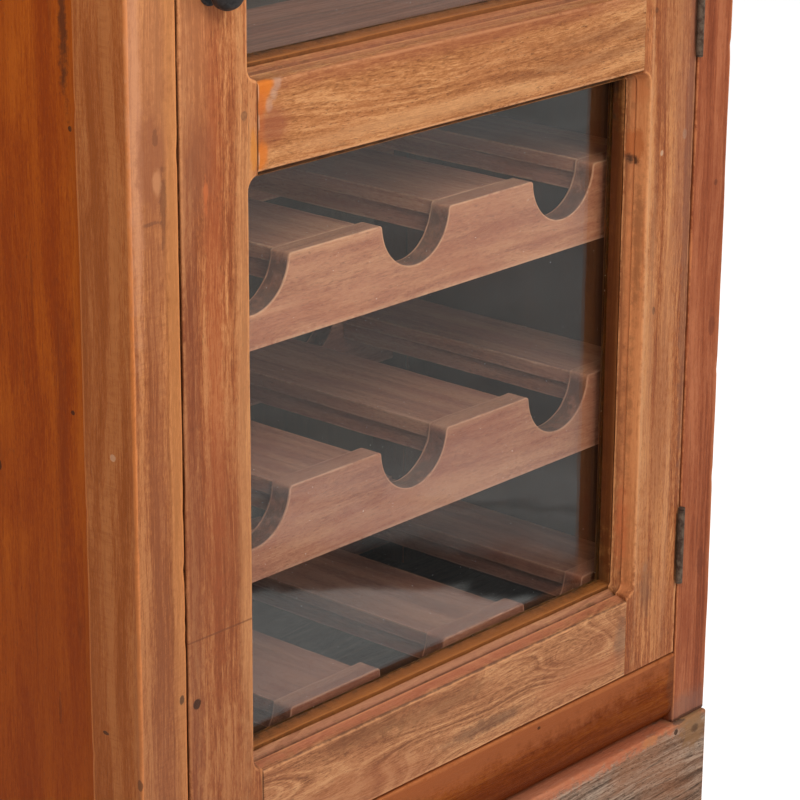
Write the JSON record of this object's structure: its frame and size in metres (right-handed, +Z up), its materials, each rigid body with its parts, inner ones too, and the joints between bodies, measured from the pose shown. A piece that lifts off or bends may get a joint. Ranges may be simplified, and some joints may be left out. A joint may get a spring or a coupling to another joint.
{
  "type": "wine cabinet",
  "caption": "Tall free-standing wooden cabinet with one side-hinged door framed round two glass panes, notched racks for lying bottles below and open shelves above.",
  "frame": {"origin": "on the floor under the middle of the cabinet, taken over its whole depth from the knob to the back", "axes": "+Z up, +Y from the door towards the back, +X to the right for someone who faces the door"},
  "size_m": [0.7786, 0.4306, 1.5],
  "materials": {
    "post_wood": "reclaimed hardwood, waxed, with saw marks and worn edges",
    "panel_wood": "orange-brown hardwood, satin wax",
    "door_wood": "reclaimed hardwood, waxed, with paint remnants and filler",
    "plinth_wood": "weathered grey-brown wood, dull",
    "rack_wood": "plain brown wood, smooth and dull",
    "inside_wood": "unfinished dark wood",
    "pane_glass": "clear window glass",
    "dark_iron": "dark iron with a hammered surface",
    "aged_steel": "aged steel, brown and dull",
    "catch_paint": "dark brown paint"
  },
  "bodies": {
    "carcase": {"post_front_left": "post_wood", "post_front_right": "post_wood", "post_back_left": "post_wood", "post_back_right": "post_wood", "rail_front_bottom": "post_wood", "rail_front_top": "post_wood", "top_board": "post_wood", "side_panel_left": "panel_wood", "side_panel_right": "panel_wood", "back_panel": "inside_wood", "bottom_board": "inside_wood", "divider_board_front": "inside_wood", "divider_board_back": "inside_wood", "upper_shelf": "inside_wood", "plinth_front": "plinth_wood", "plinth_left": "plinth_wood", "plinth_right": "plinth_wood", "plinth_back": "plinth_wood", "catch_magnet": "catch_paint", "rack_1_front_board": "rack_wood", "rack_1_back_board": "rack_wood", "rack_1_slat_1": "rack_wood", "rack_1_slat_2": "rack_wood", "rack_1_slat_3": "rack_wood", "rack_1_slat_4": "rack_wood", "rack_2_front_board": "rack_wood", "rack_2_back_board": "rack_wood", "rack_2_slat_1": "rack_wood", "rack_2_slat_2": "rack_wood", "rack_2_slat_3": "rack_wood", "rack_2_slat_4": "rack_wood", "rack_3_front_board": "rack_wood", "rack_3_back_board": "rack_wood", "rack_3_slat_1": "rack_wood", "rack_3_slat_2": "rack_wood", "rack_3_slat_3": "rack_wood", "rack_3_slat_4": "rack_wood", "hinge_lower_frame_leaf": "aged_steel", "hinge_lower_pin": "aged_steel", "hinge_middle_frame_leaf": "aged_steel", "hinge_middle_pin": "aged_steel", "hinge_upper_frame_leaf": "aged_steel", "hinge_upper_pin": "aged_steel"},
    "door": {"door_stile_lock": "door_wood", "door_stile_hinge": "door_wood", "door_rail_bottom": "door_wood", "door_rail_middle": "door_wood", "door_rail_top": "door_wood", "pane_lower": "pane_glass", "pane_upper": "pane_glass", "bead_front_lower": "door_wood", "bead_front_upper": "door_wood", "bead_back_lower": "door_wood", "bead_back_upper": "door_wood", "knob": "dark_iron", "knob_rose": "dark_iron", "strike_plate": "aged_steel", "hinge_lower_door_leaf": "aged_steel", "hinge_middle_door_leaf": "aged_steel", "hinge_upper_door_leaf": "aged_steel"}
  },
  "joints": [
    {"name": "door_swing", "type": "hinge", "parent": "carcase", "child": "door", "pos_m": [0.3228, -0.18675, 0.186], "axis": [0, 0, 1], "range_deg": [0, 170]}
  ]
}
